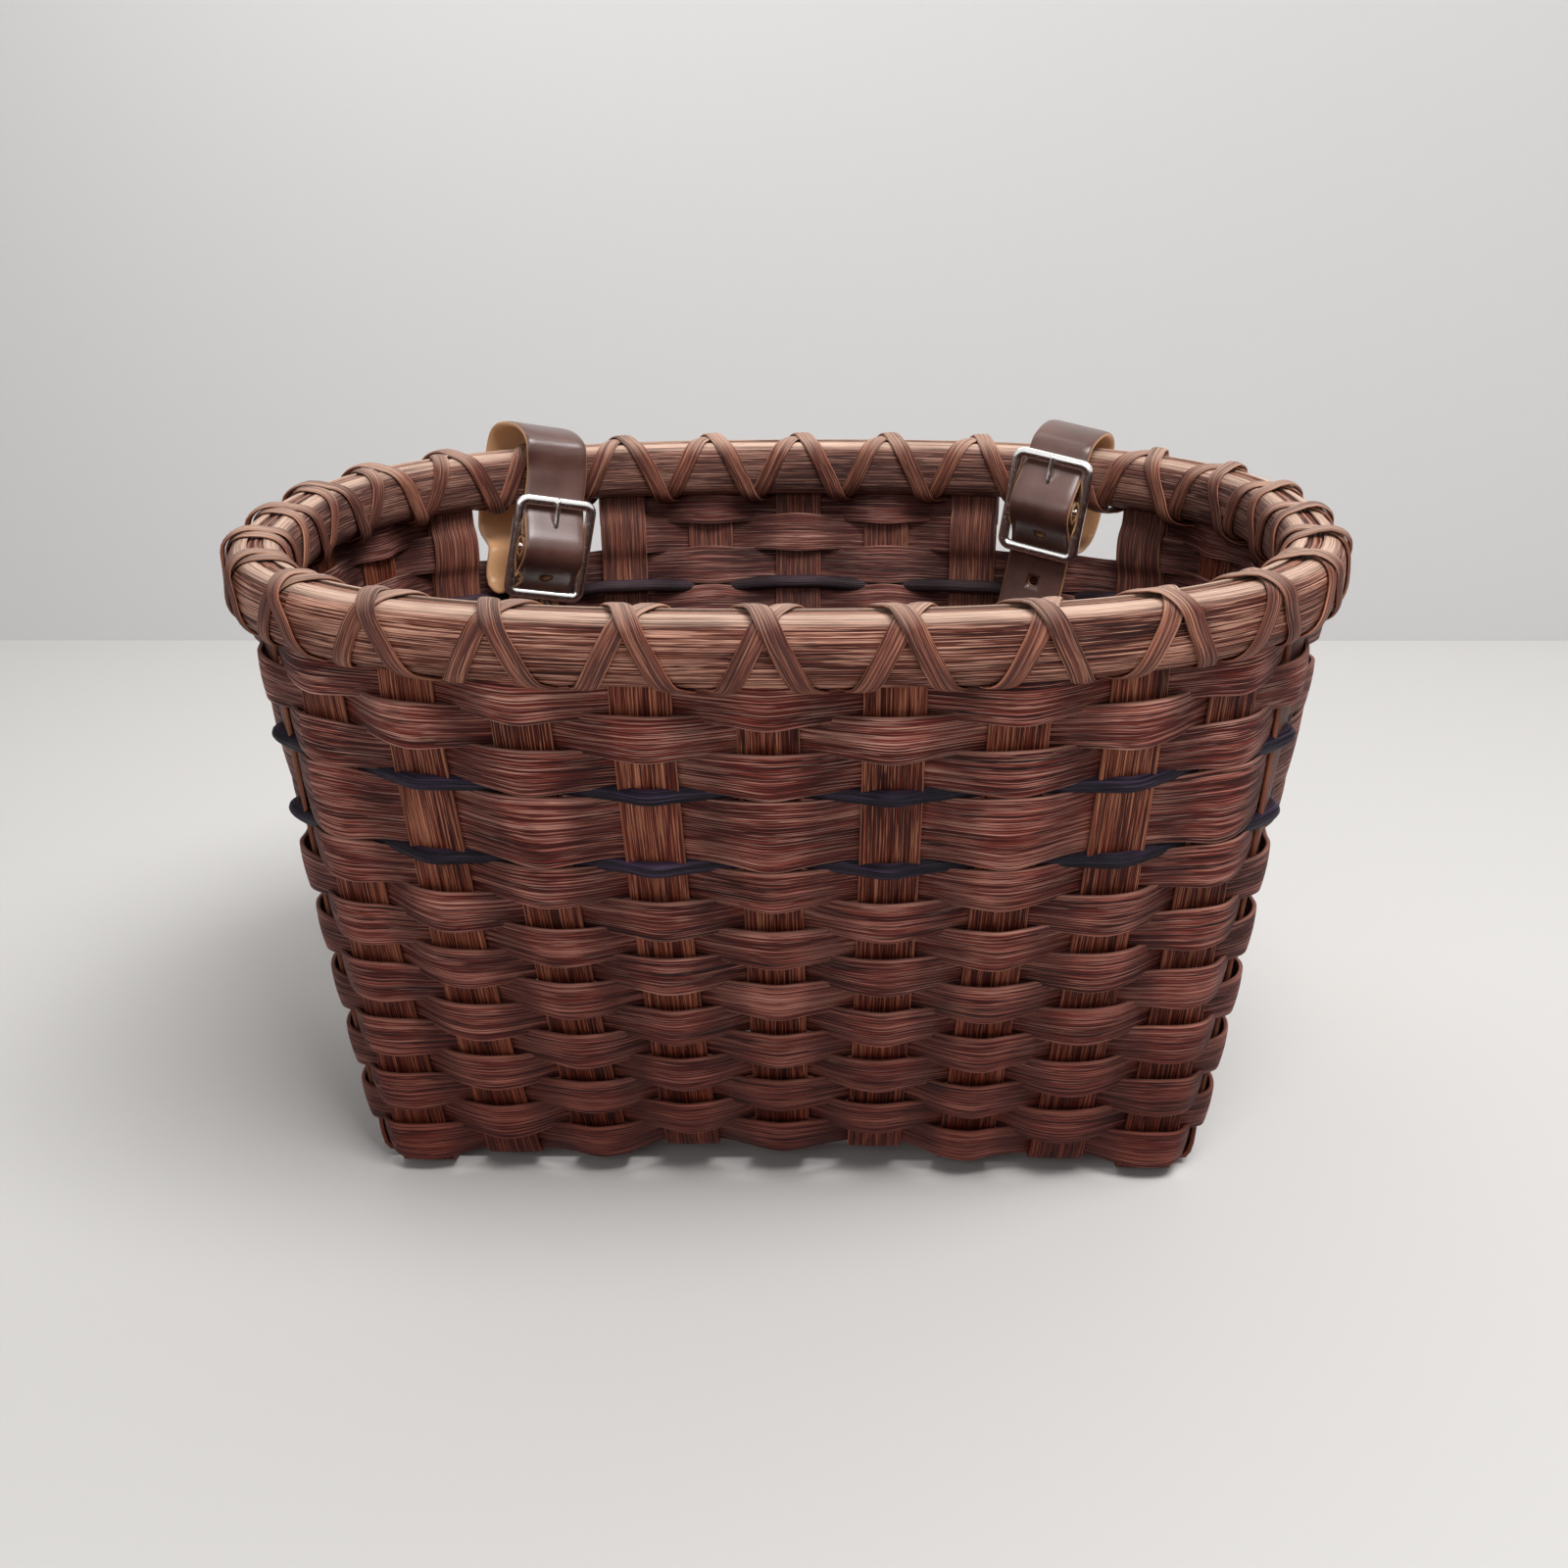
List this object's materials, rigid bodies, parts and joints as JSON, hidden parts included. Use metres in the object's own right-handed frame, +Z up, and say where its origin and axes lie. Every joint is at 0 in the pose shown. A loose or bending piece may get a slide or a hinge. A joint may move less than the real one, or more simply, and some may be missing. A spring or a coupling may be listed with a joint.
{
  "type": "bicycle basket",
  "caption": "Woven flat-reed bicycle basket with a flared rectangular body, X-lashed rim and buckled leather straps on the back for hanging it on a handlebar.",
  "frame": {"origin": "under the middle of the basket, on the surface that its four corner feet stand on", "axes": "+Z up, +X along the basket's length to the right seen from the front, front towards -Y, strap side towards +Y"},
  "size_m": [0.3082, 0.239, 0.1878],
  "materials": {
    "stake_reed": "satin stain",
    "weaver_reed": "satin stain",
    "wide_reed": "satin stain",
    "rim_reed": "satin stain",
    "lashing_reed": "satin stain",
    "accent_reed": "satin navy dye",
    "leather": "satin",
    "nickel": "polished"
  },
  "bodies": {
    "basket": {"stake_front_back_1": "stake_reed", "stake_front_back_2": "stake_reed", "stake_front_back_3": "stake_reed", "stake_front_back_4": "stake_reed", "stake_front_back_5": "stake_reed", "stake_front_back_6": "stake_reed", "stake_front_back_7": "stake_reed", "stake_front_back_8": "stake_reed", "stake_front_back_9": "stake_reed", "stake_left_right_1": "stake_reed", "stake_left_right_2": "stake_reed", "stake_left_right_3": "stake_reed", "stake_left_right_4": "stake_reed", "stake_left_right_5": "stake_reed", "weaver_row_1": "weaver_reed", "weaver_row_1_back": "weaver_reed", "weaver_row_2": "weaver_reed", "weaver_row_2_back": "weaver_reed", "weaver_row_3": "weaver_reed", "weaver_row_4": "accent_reed", "weaver_row_5": "wide_reed", "weaver_row_6": "accent_reed", "weaver_row_7": "weaver_reed", "weaver_row_8": "weaver_reed", "weaver_row_9": "weaver_reed", "weaver_row_10": "weaver_reed", "weaver_row_11": "weaver_reed", "weaver_row_12": "weaver_reed", "weaver_row_13": "weaver_reed", "weaver_row_14": "weaver_reed", "weaver_row_15": "weaver_reed", "weaver_row_16": "weaver_reed", "weaver_row_17": "weaver_reed", "overlay_stake_1": "stake_reed", "overlay_stake_2": "stake_reed", "overlay_stake_3": "stake_reed", "overlay_stake_4": "stake_reed", "rim_outer": "rim_reed", "rim_inner": "rim_reed", "rim_filler": "lashing_reed", "lashing_first_pass": "lashing_reed", "lashing_second_pass": "lashing_reed"},
    "strap_right_body": {"strap_right": "leather", "strap_rivet_right": "nickel"},
    "buckle_right_body": {"buckle_frame_right": "nickel"},
    "prong_right_body": {"buckle_prong_right": "nickel"},
    "strap_left_body": {"strap_left": "leather", "strap_rivet_left": "nickel"},
    "buckle_left_body": {"buckle_frame_left": "nickel"},
    "prong_left_body": {"buckle_prong_left": "nickel"}
  },
  "joints": [
    {"name": "strap_right_rock", "type": "hinge", "parent": "basket", "child": "strap_right_body", "pos_m": [0.08785, 0.09607, 0.1685], "axis": [0.9177, -0.3973, 0], "range_deg": [-6, 4]},
    {"name": "buckle_right_tip", "type": "hinge", "parent": "strap_right_body", "child": "buckle_right_body", "pos_m": [0.08002, 0.078, 0.163], "axis": [0.9064, -0.3925, -0.1564], "range_deg": [-2.5, 2.5]},
    {"name": "prong_right_turn", "type": "hinge", "parent": "buckle_right_body", "child": "prong_right_body", "pos_m": [0.08002, 0.078, 0.163], "axis": [0.9064, -0.3925, -0.1564], "range_deg": [0, 6]},
    {"name": "strap_left_rock", "type": "hinge", "parent": "basket", "child": "strap_left_body", "pos_m": [-0.08785, 0.09607, 0.1685], "axis": [0.9177, 0.3973, 0], "range_deg": [-3, 0]},
    {"name": "buckle_left_tip", "type": "hinge", "parent": "strap_left_body", "child": "buckle_left_body", "pos_m": [-0.08002, 0.078, 0.149], "axis": [0.8976, 0.3887, -0.2079], "range_deg": [-2.5, 2.5]},
    {"name": "prong_left_turn", "type": "hinge", "parent": "buckle_left_body", "child": "prong_left_body", "pos_m": [-0.08002, 0.078, 0.149], "axis": [0.8976, 0.3887, -0.2079], "range_deg": [0, 6]}
  ]
}
